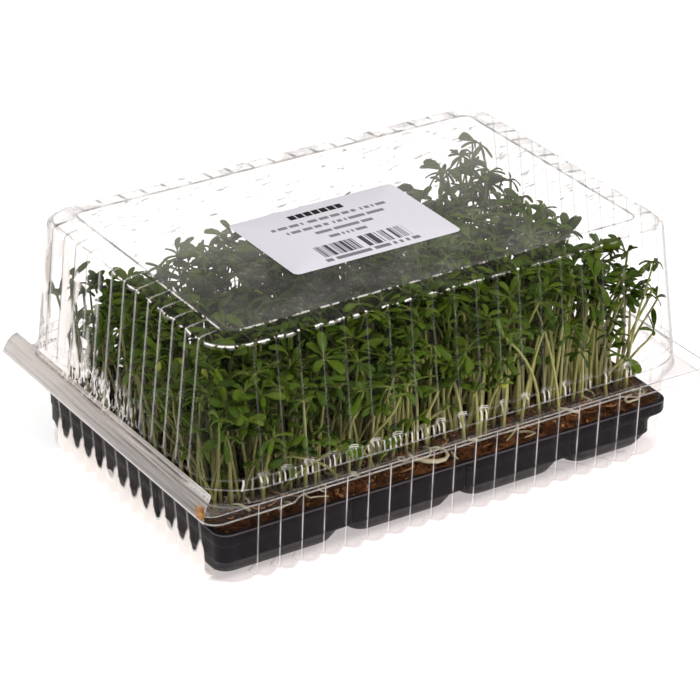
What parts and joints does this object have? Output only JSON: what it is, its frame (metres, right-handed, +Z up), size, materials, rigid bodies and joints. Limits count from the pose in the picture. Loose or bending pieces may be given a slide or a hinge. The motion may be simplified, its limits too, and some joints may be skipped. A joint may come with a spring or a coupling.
{
  "type": "garden cress in a clear sprouting box",
  "caption": "Garden cress seedlings in a black cell tray inside a clear fluted box, with a lid hinged along one short side.",
  "frame": {"origin": "centre of the box's bounding box, on the table", "axes": "+Z up, +X along the long side away from the hinge fold, -Y towards the front"},
  "size_m": [0.179, 0.1286, 0.0785],
  "materials": {
    "clear_plastic": "glossy clear",
    "black_plastic": "satin",
    "soil": "fibrous matt",
    "paper": "matt",
    "leaf": "satin"
  },
  "bodies": {
    "base": {"box_base": "clear_plastic", "cell_tray": "black_plastic", "growing_medium": "soil", "cress_r1c1": "leaf", "cress_r1c2": "leaf", "cress_r1c3": "leaf", "cress_r1c4": "leaf", "cress_r2c1": "leaf", "cress_r2c2": "leaf", "cress_r2c3": "leaf", "cress_r2c4": "leaf", "cress_r3c1": "leaf", "cress_r3c2": "leaf", "cress_r3c3": "leaf", "cress_r3c4": "leaf"},
    "lid": {"box_lid": "clear_plastic", "paper_label": "paper"}
  },
  "joints": [
    {"name": "lid_fold", "type": "hinge", "parent": "base", "child": "lid", "pos_m": [-0.0895, 0, 0.02855], "axis": [0, -1, 0], "range_deg": [0, 130]}
  ]
}
